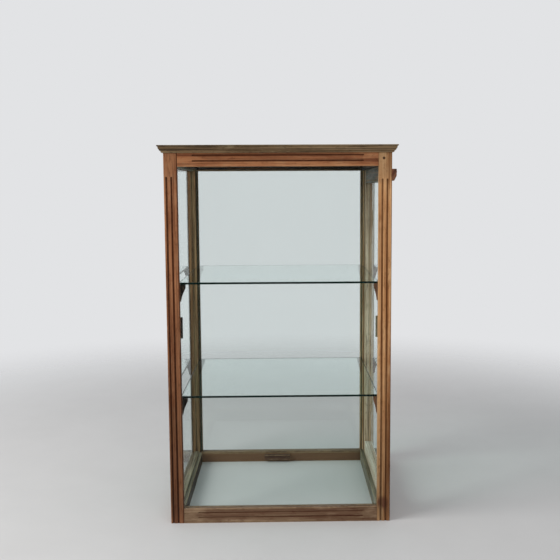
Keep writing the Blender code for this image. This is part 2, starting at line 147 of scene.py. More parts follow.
# Node trees
def tone(red, green, blue):
    """An sRGB colour, 0 to 255, as Blender's linear colour."""
    parts = [c / 255 for c in (red, green, blue)]
    return tuple(c / 12.92 if c <= 0.04045 else ((c + 0.055) / 1.055) ** 2.4 for c in parts) + (1.0,)


class Graph:
    """The node tree of a new material, or of a new world."""

    def __init__(self, name, kind="materials"):
        self.owner = getattr(bpy.data, kind).new(name)
        self.owner.use_nodes = True
        self.tree = self.owner.node_tree
        self.tree.nodes.clear()
        self.coords = self.add("TexCoord").outputs
        self.place = self.coords["Object"]

    def add(self, kind, sockets=(), **settings):
        """A shader node with its settings, its inputs linked or set."""
        node = self.tree.nodes.new("ShaderNode" + kind)
        for key, value in settings.items():
            setattr(node, key, value)
        for key, value in dict(sockets).items():
            if isinstance(value, bpy.types.NodeSocket):
                self.tree.links.new(value, node.inputs[key])
            else:
                node.inputs[key].default_value = value
        return node

    def math(self, operation, *values, clamp=True):
        """A math node's result, kept between 0 and 1 unless clamp is off."""
        return self.add("Math", enumerate(values), operation=operation, use_clamp=clamp).outputs[0]

    def noise(self, scale, detail=3.0, rough=0.5, shift=0.0, warp=0.0):
        """Noise with its own number of cycles per metre along each axis."""
        moved = self.add("Mapping", {"Vector": self.place, "Scale": scale,
                                     "Location": (shift, shift * 0.71, shift * 1.37)})
        made = self.add("TexNoise", {"Vector": moved.outputs[0], "Scale": 1.0, "Detail": detail,
                                     "Roughness": rough, "Distortion": warp})
        return made.outputs[0]

    def ramp(self, value, *stops):
        node = self.add("ValToRGB", {"Fac": value})
        elements = node.color_ramp.elements
        while len(elements) < len(stops):
            elements.new(0.5)
        for element, (position, colour) in zip(elements, stops):
            element.position = position
            element.color = colour
        return node.outputs[0]

    def mix(self, factor, first, second, blend="MIX"):
        sockets = {0: factor, 6: first, 7: second}
        return self.add("Mix", sockets, data_type="RGBA", blend_type=blend).outputs[2]

    def span(self, value, start, end, first=0.0, last=1.0):
        """Smoothly from first, where value is at start, to last, where it is at end."""
        node = self.add("MapRange", {"Value": value, "From Min": start, "From Max": end,
                                     "To Min": first, "To Max": last}, interpolation_type="SMOOTHSTEP")
        return node.outputs["Result"]

    def mark(self, name):
        """A number that the mesh holds at each vertex."""
        return self.add("Attribute", attribute_name=name).outputs["Fac"]

    def axis(self, name):
        return self.add("SeparateXYZ", {0: self.place}).outputs[name]

    def surface(self, colour, roughness, height=None, bump=0.3, depth=0.3 * MM, **sockets):
        shader = self.add("BsdfPrincipled", {"Base Color": colour, "Roughness": roughness})
        for key, value in sockets.items():
            shader.inputs[key.replace("_", " ")].default_value = value
        if height is not None:
            bumped = self.add("Bump", {"Height": height, "Strength": bump, "Distance": depth})
            self.tree.links.new(bumped.outputs[0], shader.inputs["Normal"])
        return shader.outputs[0]

    def finish(self, shader):
        self.add("OutputMaterial", {"Surface": shader})
        return self.owner


def along(axis, across, length):
    """Cycles per metre for a figure drawn out along an axis."""
    return tuple(length if name == axis else across for name in "XYZ")


WEATHERED = tone(146, 122, 92)
DEEP_DIRT_AND_SHADE = tone(36, 30, 24)
BLACK_DIRT = tone(38, 27, 19)


def wood(name, axis, tones, worn, seed, inner=None, deep=DEEP_DIRT_AND_SHADE, dirt=BLACK_DIRT, grooves=1.0, wear=0.7,
         shade=None, stain=None):
    """Old stained wood with its grain along an axis. The mesh's marks say where the arrises are worn, where
    dirt sits (with painted shade on the cornice), and which faces are inside the case: 1 for the inner tones,
    2 for the deep one. The pale inner tones are painted light, the near-black ones painted shade, and the
    deep one is dirt with painted shade."""
    g = Graph("wood_" + name)
    figure = g.noise(along(axis, 55, 2.2), 3, 0.55, seed, 0.35)
    streak = g.noise(along(axis, 210, 4.5), 2, 0.5, seed + 3, 0.2)
    fibre = g.noise(along(axis, 620, 14), 4, 0.65, seed + 7)
    patch = g.noise(along(axis, 26, 8), 3, 0.6, seed + 13)
    speck = g.noise(along(axis, 240, 90), 2, 0.6, seed + 19)
    blotch = g.noise(along(axis, 44, 16), 2, 0.5, seed + 11)
    colour = g.ramp(figure, *zip((0.36, 0.5, 0.64), tones))
    colour = g.mix(g.span(blotch, 0.54, 0.7, 0.0, 0.4), colour, worn)
    mottle = g.noise(along(axis, 150, 55), 4, 0.7, seed + 23, 0.6)
    colour = g.mix(g.span(mottle, 0.52, 0.68, 0.0, 0.45), colour, dirt)
    colour = g.mix(g.span(mottle, 0.46, 0.32, 0.0, 0.35), colour, WEATHERED)
    lit = g.mark("inner")
    if inner:
        hidden = g.ramp(g.noise(along(axis, 70, 5), 4, 0.6, seed + 29), *zip((0.32, 0.5, 0.7), inner))
        colour = g.mix(g.span(lit, 0.0, 1.0), colour, hidden)
    colour = g.mix(g.span(streak, 0.52, 0.68, 0.0, 0.55), colour, dirt)
    colour = g.mix(g.span(streak, 0.46, 0.3, 0.0, 0.5), colour, tones[2])
    colour = g.mix(g.span(fibre, 0.5, 0.7, 0.0, 0.5), colour, dirt)
    # Faces marked 2, the lips and rebates behind the glass, take the deep tone: dirt, and painted shade where
    # they lie in shadow.
    if inner:
        soiled = g.mix(streak, deep, tuple(c * 1.5 for c in deep[:3]) + (1.0,))
        colour = g.mix(g.span(lit, 1.0, 2.0), colour, soiled)
    if stain:
        colour = stain(g, colour, patch, dirt)
    rubbed = g.math("MULTIPLY", g.mark("wear"), g.span(g.math("ADD", patch, speck), 0.82, 1.12, 0.1, wear))
    colour = g.mix(rubbed, colour, worn)
    # Where the dirt mark is set the colour goes to the dirt tone: grime in grooves and corners, and painted
    # shade on the cornice.
    grime_and_shade = g.math("MULTIPLY", g.mark("dirt"), g.span(speck, 0.25, 0.7, grooves, grooves * 0.78))
    colour = g.mix(grime_and_shade, colour, dirt)
    # Painted shade: the colour is darkened by height.
    if shade:
        height_shade = g.ramp(g.axis("Z"), *[(z, (share, share * 0.98, share * 0.95, 1.0)) for z, share in shade])
        colour = g.mix(1.0, colour, height_shade, "MULTIPLY")
    roughness = g.span(g.math("ADD", patch, rubbed), 0.35, 0.9, 0.42, 0.66)
    height = g.math("ADD", g.math("MULTIPLY", fibre, 0.7), g.math("MULTIPLY", speck, 0.3))
    shader = g.surface(colour, roughness, height, 0.35, 0.25 * MM)
    g.tree.links.new(g.span(lit, 0.0, 0.8, 0.28, 0.04), shader.node.inputs["Specular IOR Level"])
    return g.finish(shader)


def glass(name, tint, lamp_tint, dust):
    """Clear old glass with a faint film of dust by its edges. Soft light passes straight through."""
    g = Graph(name)
    cloud = g.noise((5, 5, 5), 3, 0.5, 2)
    colour = g.mix(cloud, tint, tuple(c * 0.985 for c in tint[:3]) + (1.0,))
    clear = g.surface(colour, 0.0, Transmission_Weight=1.0, IOR=1.5)
    film = g.surface(dust, 0.9)
    smear = g.noise((38, 38, 22), 4, 0.6, 5)
    amount = g.math("MULTIPLY", g.math("ADD", g.mark("dirt"), 0.02), g.span(smear, 0.35, 0.8, 0.02, 0.12))
    seen = g.add("MixShader", {0: amount, 1: clear, 2: film}).outputs[0]
    path = g.add("LightPath").outputs
    for kind in ("Is Diffuse Ray", "Is Shadow Ray"):
        open_way = g.add("BsdfTransparent", {"Color": lamp_tint}).outputs[0]
        seen = g.add("MixShader", {0: path[kind], 1: seen, 2: open_way}).outputs[0]
    return g.finish(seen)


def glass_edge(name, dark, pale):
    """The ground edge of a shelf, where light dies out in the glass's own green."""
    g = Graph(name)
    grain = g.noise((300, 300, 900), 3, 0.6, 4)
    colour = g.mix(g.span(grain, 0.35, 0.75), dark, pale)
    return g.finish(g.surface(colour, g.span(grain, 0.3, 0.8, 0.12, 0.4), grain, 0.2, 0.1 * MM))


def metal(name, bright, dull, seed):
    """Tarnished metal, brighter where it is rubbed."""
    g = Graph(name)
    cloud = g.noise((90, 90, 90), 4, 0.65, seed)
    speck = g.noise((700, 700, 700), 3, 0.6, seed + 3)
    colour = g.mix(g.span(cloud, 0.35, 0.7), bright, dull)
    colour = g.mix(g.span(speck, 0.55, 0.8, 0.0, 0.5), colour, dull)
    colour = g.mix(g.math("MULTIPLY", g.mark("wear"), 0.7), colour, bright)
    rough = g.span(g.math("ADD", cloud, speck), 0.7, 1.3, 0.32, 0.62)
    return g.finish(g.surface(colour, rough, speck, 0.25, 0.1 * MM, Metallic=0.85))


# Meshes

def wobble(seed, index, at):
    """How much an arris is rounded at a place along it: uneven, with a dent now and then."""
    slow = noise.noise(Vector((seed + index * 5.1, at * 22, 0.5)))
    dent = noise.noise(Vector((seed + index * 3.3, at * 60, 9.5)))
    return ARRIS * (0.85 + 0.5 * slow) + max(0.0, dent - 0.38) * 3 * MM


def outline(shape, at, seed, open_share):
    """A section's points at a place along the bar, each as (p, q, wear, dirt, inner)."""
    corners = [Vector(corner[:2]) for corner in shape["corners"]]
    sizes = [corner[2] if len(corner) > 2 else 1.0 for corner in shape["corners"]]
    inner = [shape.get("inner", {}).get(i, 0.0) for i in range(len(corners))]
    area = sum(a.cross(b) for a, b in zip(corners, corners[1:] + corners[:1]))
    points = []
    for i, here in enumerate(corners):
        to_before = corners[i - 1] - here
        to_after = corners[(i + 1) % len(corners)] - here
        convex = to_after.cross(to_before) * area > 0
        soiled = i in shape.get("soiled", ())
        if sizes[i] == 0:
            points.append((*here, 0.0, 0.0, inner[i]))
        else:
            size = sizes[i] * wobble(seed, i, at) if convex else INNER_CORNER
            points += arris(here, to_before, to_after, SOILED_CORNER if soiled else size,
                            convex and not soiled, inner[i - 1], inner[i])
        for edge, place, radius in shape.get("grooves", ()):
            if edge == i:
                points += groove(here, to_after.normalized(), place, radius, area, open_share)
    return points


def arris(here, to_before, to_after, size, convex, inner_before, inner_after):
    """The rounding of one corner, between two support points that keep the faces flat."""
    size = min(size, 0.35 * to_before.length, 0.35 * to_after.length)
    start, end = [here + run.normalized() * size for run in (to_before, to_after)]
    first, last = [here + run.normalized() * min(size + SUPPORT, 0.46 * run.length)
                   for run in (to_before, to_after)]
    points = [(*first, 0.0, 0.0, inner_before)]
    mark = (1.0, 0.0) if convex else (0.0, 1.0)
    for step in range(ARC_STEPS + 1):
        t = step / ARC_STEPS
        spot = start.lerp(here, t).lerp(here.lerp(end, t), t)
        points.append((*spot, *mark, inner_before + (inner_after - inner_before) * t))
    return points + [(*last, 0.0, 0.0, inner_after)]


def groove(corner, forward, place, radius, area, share):
    """A half-round groove across an edge of the section. share, from 0 to 1, is how open it is here."""
    into = Vector((-forward.y, forward.x)) * (1 if area > 0 else -1)
    width = radius * (share if share else 1.0)
    margin = radius + 0.9 * MM
    centre = corner + forward * place
    points = [(*(centre - forward * margin), 0.0, 0.0, 0.0)]
    for step in range(GROOVE_STEPS + 1):
        angle = math.pi * step / GROOVE_STEPS
        spot = centre - forward * width * math.cos(angle) + into * radius * share * math.sin(angle)
        depth = math.sin(angle)
        points.append((*spot, 0.5 * share * (depth < 0.1), min(1.0, depth * 1.2) * (share > 0.2), 0.0))
    return points + [(*(centre + forward * margin), 0.0, 0.0, 0.0)]


def opened(at, stops, radius):
    """How open a groove is at a place along it, with ball-shaped ends at its stops."""
    room = min(at - stops[0], stops[1] - at) / radius
    if room <= 0:
        return 0.0
    return max(0.05, math.sqrt(1 - (1 - min(room, 1.0)) ** 2))


def stations(span, stops, radius, step):
    """Places along a bar for its sections: even, with more at its ends and where grooves stop."""
    start, end = span
    count = max(2, round((end - start) / step))
    places = {start + (end - start) * i / count for i in range(count + 1)}
    places |= {start + END_CHAMFER, end - END_CHAMFER}
    for stop, inward in zip(stops, (1, -1)):
        if start < stop < end:
            places = {place for place in places if abs(place - stop) > radius * 1.5}
            places |= {stop + inward * radius * share for share in (-1.0, -0.05, 0.02, 0.15, 0.4, 0.7, 1.0)}
    return sorted(places)


def inset(ring, by):
    """A ring of section points drawn in along its own normals, and marked as worn."""
    size = len(ring)
    area = sum(ring[i - 1][0] * ring[i][1] - ring[i][0] * ring[i - 1][1] for i in range(size))
    moved = []
    for i, (p, q, wear, dirt, inner) in enumerate(ring):
        before, after = ring[i - 1], ring[(i + 1) % size]
        run = Vector((after[0] - before[0], after[1] - before[1]))
        if run.length < 1e-9:
            moved.append(ring[i])
            continue
        into = Vector((-run.y, run.x)).normalized() * (by if area > 0 else -by)
        moved.append((p + into.x, q + into.y, max(wear, 0.8), dirt, inner))
    return moved


def clamped(ring, tenon):
    """A ring of section points held inside a tenon's rectangle (p0, p1, q0, q1)."""
    p0, p1, q0, q1 = tenon
    return [(min(max(p, p0), p1), min(max(q, q0), q1), 0.0, 0.0, inner) for p, q, _, _, inner in ring]


def skin_loops(bm, loops):
    """Faces between neighbouring loops of vertices, and over the first and the last."""
    for one, other in zip(loops, loops[1:]):
        for i, vert in enumerate(one):
            bm.faces.new((one[i - 1], vert, other[i], other[i - 1]))
    bm.faces.new(loops[0])
    bm.faces.new(loops[-1])


def loft(rings):
    """A closed skin over rings of (place, wear, dirt, inner)."""
    bm = bmesh.new()
    layers = [bm.verts.layers.float.new(name) for name in ("wear", "dirt", "inner")]
    loops = []
    for ring in rings:
        loop = []
        for place, *marks in ring:
            vert = bm.verts.new(place)
            for layer, mark in zip(layers, marks):
                vert[layer] = mark
            loop.append(vert)
        loops.append(loop)
    skin_loops(bm, loops)
    bmesh.ops.remove_doubles(bm, verts=bm.verts, dist=1e-6)
    bmesh.ops.recalc_face_normals(bm, faces=bm.faces)
    return bm


def bar(node, shape, place, span, material, seed, tenon=None, reach=0.0, step=STATION):
    """A bar of one section between two places, with an optional tenon that goes on for its reach."""
    stops = shape.get("stops", (-9, 9))
    radius = shape["grooves"][0][2] if "grooves" in shape else MM
    rings = []
    for at in stations(span, stops, radius, step):
        ring = outline(shape, at, seed, opened(at, stops, radius))
        if at in span:
            ring = inset(ring, END_CHAMFER)
        rings.append((at, ring))
    if tenon:
        for end, sign in ((0, -1), (-1, 1)):
            at, ring = rings[end]
            core = clamped(ring, tenon)
            extra = [(at, core), (at + sign * reach, core)]
            rings = extra[::-1] + rings if end == 0 else rings + extra
    skin = loft([[(place(p, q, at), *marks) for p, q, *marks in ring] for at, ring in rings])
    return piece(node, skin, [material])


def add_object(name, data):
    """A new object in the scene."""
    obj = bpy.data.objects.new(name, data)
    bpy.context.scene.collection.objects.link(obj)
    return obj


def mesh_object(name, bm, materials=()):
    """A new object of this mesh, which is used up."""
    mesh = bpy.data.meshes.new(name)
    bm.to_mesh(mesh)
    bm.free()
    for material in materials:
        mesh.materials.append(material)
    return add_object(name, mesh)


def piece(node, bm, materials, name=None):
    """An object that rides on its node's body and, without its own name, replaces it."""
    obj = mesh_object(name or node + "_piece", bm, materials)
    obj.data.polygons.foreach_set("use_smooth", [True] * len(obj.data.polygons))
    obj.data.set_sharp_from_angle(angle=SMOOTH_ANGLE)
    if name is None:
        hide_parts(node)
    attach(obj, BODY_OF[node])
    return obj


def carve(obj, bm):
    """Cuts a mesh out of a piece."""
    cutter = mesh_object("cutter", bm)
    modifier = obj.modifiers.new("cut", "BOOLEAN")
    modifier.operation = "DIFFERENCE"
    modifier.solver = "EXACT"
    modifier.object = cutter
    bpy.context.view_layer.update()
    graph = bpy.context.evaluated_depsgraph_get()
    made = bpy.data.meshes.new_from_object(obj.evaluated_get(graph))
    obj.modifiers.clear()
    old = obj.data
    obj.data = made
    bpy.data.meshes.remove(old)
    bpy.data.objects.remove(cutter)
    made.set_sharp_from_angle(angle=SMOOTH_ANGLE)


def block(start, end):
    """A box between two corners, as a cutter or a blank."""
    bm = bmesh.new()
    bmesh.ops.create_cube(bm, size=1)
    start, end = Vector(start), Vector(end)
    bmesh.ops.scale(bm, vec=end - start, verts=bm.verts)
    bmesh.ops.translate(bm, vec=(start + end) / 2, verts=bm.verts)
    return bm


def on_side(side):
    """Places a point by its depth in from a side's face, its height and its place along it."""
    spots = {"front": lambda d, z, s: Vector((s, d - HALF_D, z)),
             "rear": lambda d, z, s: Vector((s, HALF_D - d, z)),
             "left": lambda d, z, s: Vector((d - HALF_W, s, z)),
             "right": lambda d, z, s: Vector((HALF_W - d, s, z))}
    return spots[side]


def half_of(side):
    return HALF_W if side in ENDS else HALF_D


# Woods. Each set of tones is dark, middle and light.

RED_STAIN = tone(82, 42, 26)
SMUDGE = tone(104, 50, 34)


def smeared_stain_and_shade(half_length, heights, strength):
    """Dark red stain left between and round the grooves of a rail, with ragged ends. On the top rail it also
    paints the cornice's shadow above the upper groove.
    """
    def stain(g, colour, patch, dirt):
        ragged = g.math("MULTIPLY", g.noise((14, 60, 160), 4, 0.65, 41), 90 * MM, clamp=False)
        far = g.math("ADD", g.math("ABSOLUTE", g.axis("X"), clamp=False), ragged, clamp=False)
        inside = g.span(far, half_length + 50 * MM, half_length + 30 * MM)
        z = g.axis("Z")
        band = g.math("MULTIPLY", g.span(z, heights[0], heights[0] + 4 * MM),
                      g.span(z, heights[1], heights[1] - 4 * MM))
        streak = g.span(g.noise((7, 60, 330), 3, 0.6, 47), 0.38, 0.62, 0.3 * strength, 0.95 * strength)
        amount = g.math("MULTIPLY", g.math("MULTIPLY", inside, band), streak)
        return g.mix(amount, colour, RED_STAIN)
    return stain


def peg_mark(x, z):
    """A dark ring of dirt round the peg, and a red smudge near the post's foot."""
    def stain(g, colour, patch, dirt):
        def away(height):
            spot = g.add("CombineXYZ", {0: x, 1: -HALF_D, 2: height}).outputs[0]
            return g.add("VectorMath", {0: g.place, 1: spot}, operation="DISTANCE").outputs["Value"]

        ragged = g.math("MULTIPLY", patch, 24 * MM, clamp=False)
        far = g.math("ADD", away(FOOT_SMUDGE), ragged, clamp=False)
        colour = g.mix(g.span(far, 32 * MM, 18 * MM, 0.0, 0.75), colour, SMUDGE)
        return g.mix(g.span(away(z), 4.2 * MM, 2.4 * MM), colour, dirt)
    return stain


INNER_GREY = (tone(84, 69, 50), tone(118, 98, 74), tone(140, 124, 94))
# Painted light: pale tones for the door's inner faces and upright beads on the right, where light from the
# left falls.
INNER_PALE_LIT = (tone(128, 106, 84), tone(194, 168, 140), tone(236, 218, 192))
INNER_SAGE = (tone(90, 87, 72), tone(120, 116, 100), tone(148, 144, 124))
# Painted shade: near black for the inner faces of the top rails and top board, and under the button.
INNER_SHADE_BLACK = (tone(40, 35, 32), tone(66, 59, 54), tone(92, 84, 76))
INNER_BROWN = (tone(96, 76, 56), tone(140, 114, 86), tone(168, 145, 110))
RESIDUE = (tone(168, 150, 126), tone(214, 202, 182), tone(236, 228, 214))
# Painted light: the rear right post's inner faces are brighter where light from the left falls on them.
INNER_TAN_LIT = (tone(160, 134, 102), tone(200, 172, 138), tone(228, 204, 172))
RED_TONES = (tone(96, 54, 30), tone(137, 87, 55), tone(166, 114, 78))
TAN_TONES = (tone(158, 104, 62), tone(194, 142, 94), tone(216, 172, 124))
RAIL_TONES = (tone(122, 70, 42), tone(152, 96, 60), tone(172, 117, 77))
BARE_TONES = (tone(88, 64, 46), tone(110, 84, 62), tone(128, 104, 80))
OLIVE_TONES = (tone(98, 76, 50), tone(128, 103, 72), tone(152, 128, 96))
DARK_TONES = (tone(18, 14, 12), tone(29, 23, 19), tone(44, 35, 28))
BEAD_TONES = (tone(78, 60, 44), tone(104, 82, 62), tone(132, 106, 82))
RED_DIRT = tone(74, 34, 12)
BROWN_DIRT = tone(100, 58, 24)
WORN_TAN = tone(200, 158, 112)
WORN_OLIVE = tone(164, 146, 112)
# Painted shade by height, as (height, share): darker towards the foot, and on the front posts at the head
# under the cornice.
DIM_FOOT_SHADE = ((0.0, 0.72), (0.03, 0.54), (0.24, 0.58), (0.45, 0.88), (0.6, 1.0), (0.84, 1.0), (0.87, 0.84))
TAN_FOOT_SHADE = ((0.0, 0.62), (0.03, 0.46), (0.24, 0.76), (0.45, 0.96), (0.6, 1.0), (0.84, 1.0), (0.87, 0.66))
REAR_FOOT_SHADE = ((0.0, 0.7), (0.3, 0.72), (0.5, 0.95), (0.6, 1.0))
peg = (low("joint_peg") + high("joint_peg")) / 2

WOODS = {
    "post_front_left": wood("post_left", "Z", RED_TONES, tone(180, 130, 94), 3.1, INNER_GREY, dirt=RED_DIRT,
                            shade=DIM_FOOT_SHADE),
    "post_front_right": wood("post_right", "Z", TAN_TONES, tone(214, 172, 124), 11.7, INNER_GREY,
                             dirt=BROWN_DIRT, grooves=0.85, shade=TAN_FOOT_SHADE, stain=peg_mark(peg.x, peg.z)),
    "post_rear_left": wood("post_rear_left", "Z", RED_TONES, WORN_OLIVE, 21.3, INNER_BROWN,
                           tone(74, 58, 44), shade=REAR_FOOT_SHADE),
    "post_rear_right": wood("post_rear_right", "Z", TAN_TONES, WORN_TAN, 31.9, INNER_TAN_LIT, tone(70, 52, 30),
                            BROWN_DIRT),
    # On the top rail the stain band also stands for painted shade under the cornice.
    "front_top_rail": wood("top_rail", "X", RAIL_TONES, tone(184, 136, 94), 5.3, INNER_SHADE_BLACK, dirt=RED_DIRT,
                           stain=smeared_stain_and_shade(185 * MM, (898 * MM, 930 * MM), 0.42)),
    "front_bottom_rail": wood("bottom_rail", "X", BARE_TONES, tone(172, 146, 116), 8.9, INNER_GREY,
                              dirt=RED_DIRT, grooves=0.6, stain=smeared_stain_and_shade(200 * MM, (6 * MM, 36 * MM), 0.65)),
    "rails_x_top": wood("rail_x_top", "X", RAIL_TONES, tone(70, 52, 38), 41.2, INNER_SHADE_BLACK),
    "rails_x_bottom": wood("rail_x_bottom", "X", BARE_TONES, WORN_OLIVE, 44.6, INNER_GREY, tone(100, 76, 58)),
    "rails_y_top": wood("rail_y_top", "Y", RAIL_TONES, tone(70, 52, 38), 51.8, INNER_SHADE_BLACK),
    "rails_y_bottom": wood("rail_y_bottom", "Y", BARE_TONES, WORN_OLIVE, 57.4, INNER_SAGE, tone(58, 48, 39)),
    "door_z": wood("door_upright", "Z", TAN_TONES, WORN_TAN, 61.5, INNER_PALE_LIT, dirt=BROWN_DIRT),
    "door_y": wood("door_rail", "Y", RAIL_TONES, WORN_TAN, 67.7, INNER_SAGE, dirt=RED_DIRT),
    "door_sill": wood("door_sill", "Y", RAIL_TONES, WORN_OLIVE, 68.9, RESIDUE, tone(84, 78, 66), RED_DIRT),
    "bead_x": wood("bead_x", "X", BEAD_TONES, tone(172, 146, 112), 71.1),
    "bead_y": wood("bead_y", "Y", INNER_SAGE, WORN_OLIVE, 75.3),
    "bead_z": wood("bead_z", "Z", INNER_PALE_LIT, WORN_OLIVE, 79.9),
    "residue": wood("residue", "Y", RESIDUE, tone(196, 190, 172), 77.2, RESIDUE, dirt=BROWN_DIRT),
    # wear=1.0 brightens the block's rubbed arrises further: wear, and a painted highlight along its top edge.
    "base": wood("base_block", "X", (tone(52, 35, 26), tone(76, 52, 40), tone(98, 72, 54)),
                 tone(164, 140, 112), 73.1, wear=1.0),
    "cornice_x": wood("cornice_x", "X", OLIVE_TONES, WORN_OLIVE, 81.4, grooves=0.8),
    "cornice_y": wood("cornice_y", "Y", OLIVE_TONES, WORN_OLIVE, 85.6, grooves=0.8),
    "top": wood("top", "X", OLIVE_TONES, WORN_OLIVE, 91.2, INNER_SHADE_BLACK),
    "dark": wood("dark", "Z", DARK_TONES, tone(62, 48, 36), 95.4),
    "corbel_right": wood("corbel_right", "Z", (tone(74, 46, 33), tone(108, 68, 50), tone(132, 88, 66)),
                         tone(124, 86, 62), 97.4),
    "cleat_right": wood("cleat_right", "Z", (tone(104, 100, 84), tone(128, 124, 106), tone(146, 142, 124)),
                        tone(160, 154, 134), 98.4),
    "button": wood("button", "Z", (tone(104, 48, 32), tone(150, 80, 58), tone(176, 106, 80)),
                   tone(176, 124, 92), 99.9, INNER_SHADE_BLACK),
}
PANE = glass("glass_pane", tone(250, 254, 253), tone(248, 252, 251), tone(176, 174, 166))
SHELF = glass("glass_shelf", tone(242, 253, 251), tone(240, 250, 247), tone(176, 176, 168))
SHELF_EDGE = glass_edge("glass_shelf_edge", tone(8, 24, 20), tone(22, 50, 42))
PANE_EDGE = glass_edge("glass_pane_edge", tone(60, 96, 84), tone(110, 146, 132))
BRASS = metal("brass_tarnished", tone(158, 126, 66), tone(74, 58, 34), 1.5)
STEEL = metal("steel_aged", tone(150, 142, 132), tone(70, 62, 54), 4.5)


# Case

def build_post(end, side):
    """A post with a rebate for each pane, or for the door, and a front one with its two flutes."""
    sx = 1 if side == "right" else -1
    sy = 1 if end == "rear" else -1
    corners = [(0, 0), (POST, 0), (POST, LIP), (SEAT, LIP)]
    if side == "right":
        corners += [(SEAT, POST), (STOP, POST), (STOP, DOOR_EDGE), (0, DOOR_EDGE)]
        inner = {2: 2 if end == "front" else 1, 3: 2, 4: 1, 5: 2}
        soiled = (5,)
    else:
        corners += [(SEAT, SEAT), (LIP, SEAT), (LIP, POST), (0, POST)]
        inner = {2: 2, 3: 1, 4: 1, 5: 2}
        soiled = (4,)
    shape = {"corners": corners, "inner": inner, "soiled": soiled}
    if end == "front":
        shape["soiled"] += (0,) if side == "right" else (1,)
        shape["grooves"] = [(0, FLUTE_CENTRE[side] + offset, FLUTE_RADIUS)
                            for offset in (-FLUTE_SPACING / 2, FLUTE_SPACING / 2)]
        shape["stops"] = (-1, FLUTE_TOP[side])
    name = f"post_{end}_{side}"
    bar(name, shape, lambda p, q, s: Vector((sx * (HALF_W - p), sy * (HALF_D - q), s)),
        (0, TOP), WOODS[name], 7.7 * sx + 3.1 * sy + 20)


def build_rail(side, level):
    """Outer lip, rebate and full-depth core, with shoulders that run into the posts' rebates."""
    name = f"{side}_{level}_rail"
    half = half_of(side)
    lap = DOOR_LAP if side == "right" else REBATE
    step = STOP if side == "right" else LIP
    start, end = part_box(name)
    deep = end.y - start.y if side in ENDS else POST
    outer, seat, edge = (0.0, end.z - lap, end.z) if level == "bottom" else (TOP, start.z + lap, start.z)
    if side == "right":
        corners = [(0, outer), (0, seat), (step, seat), (step, edge), (POST, edge), (POST, outer)]
        inner = {1: 1, 3: 1, 4: 1}
        tenon = (0, STOP - GAP, *sorted((outer, seat)))
        reach = POST - DOOR_EDGE
    else:
        corners = [(0, outer), (0, edge), (step, edge), (step, seat), (deep, seat), (deep, outer)]
        inner = {2: 2, 3: 1, 4: 2 if level == "bottom" else 1}
        tenon = (LIP + GAP, SEAT - GAP if side == "left" else deep, *sorted((outer, seat)))
        reach = REBATE
    shape = {"corners": corners, "inner": inner}
    if side == "front":
        heights = TOP_GROOVES if level == "top" else BOTTOM_GROOVES
        shape["grooves"] = [(0, place, GROOVE_RADIUS) for place in sorted(abs(z - outer) for z in heights)]
        shape["stops"] = (GROOVE_STOP - HALF_W, HALF_W - GROOVE_STOP)
    span = (POST + GAP - half, half - POST - GAP)
    family = name if side == "front" else f"rails_{'x' if side == 'rear' else 'y'}_{level}"
    bar(name, shape, on_side(side), span, WOODS[family], len(side) * 3.7 + outer * 5, tenon, reach)


def build_top():
    """The top's three planks, with a shallow joint between them above and below."""
    start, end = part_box("top_board")
    width = end.y - start.y
    joints = (width * 0.36, width * 0.69)
    corners = [(start.y, end.z), (end.y, end.z), (end.y, start.z), (start.y, start.z)]
    shape = {"corners": corners, "inner": {2: 1},
             "grooves": [(0, joint, 0.7 * MM) for joint in joints]
             + [(2, width - joint, 0.7 * MM) for joint in reversed(joints)]}
    bar("top_board", shape, lambda y, z, s: Vector((s, y, z)), (start.x, end.x), WOODS["top"], 2.2)


def cornice_section(overhang, thickness):
    """(distance out from the case, height above the frame, rounding), round the moulding."""
    start = Vector(CORNICE_FILLET)
    end = Vector((overhang - CORNICE_STEP, thickness - CORNICE_BAND))
    chord = (end - start).normalized()
    bulge = Vector((chord.y, -chord.x)) * CORNICE_BULGE
    points = [(GAP, GAP, 0.3), (CORNICE_FILLET[0], GAP, 0.5), (*start, 0)]
    into = -bulge.normalized() * CORNICE_QUIRK
    for t in (0.08, 0.17, 0.26, 0.34, 0.4, 0.42, 0.46, 0.5, 0.52, 0.6, 0.68, 0.77, 0.86, 0.94):
        spot = start.lerp(end, t) + bulge * 4 * t * (1 - t)
        points.append((*(spot + into if t in (0.42, 0.46, 0.5) else spot), 0))
    points += [(*end, 0), (overhang, thickness - CORNICE_BAND, 0.5), (overhang, thickness, 0.8)]
    return points + [(GAP, thickness, 0.3)]


def build_cornice(side):
    """One mitred length of the moulding."""
    end = cad_box[1]
    half = half_of(side)
    section = cornice_section(end.x - HALF_W, end.z - TOP)
    spot = on_side(side)

    def place(out, up, share):
        return spot(-out, TOP + up, share * (half + out - GAP))

    rings = []
    count = round(2 * half / (1.5 * STATION))
    for i in range(count + 1):
        share = 2 * i / count - 1
        ring = outline({"corners": section}, share * half, len(side) * 2.9, 0.0)
        # The dirt mark here also carries the moulding's painted shade.
        ring = [(p, q, wear, dirt or cornice_painted_shade(q, section), inner) for p, q, wear, dirt, inner in ring]
        rings.append([(place(p, q, share), *marks) for p, q, *marks in ring])
    family = "cornice_x" if side in ENDS else "cornice_y"
    piece(f"cornice_{side}", loft(rings), [WOODS[family]])


def cornice_painted_shade(up, section):
    """Painted shade on the moulding's top band, and a painted shadow line in the notch half way down it,
    carried by the dirt mark.
    """
    band = section[-4][1]
    fillet = section[2][1]
    middle = fillet + 0.46 * (band - fillet)
    line = 1.1 - abs(up - middle) / (1.1 * MM)
    return max(0.3 if up > band - 0.3 * MM else 0.0, min(1.0, line))


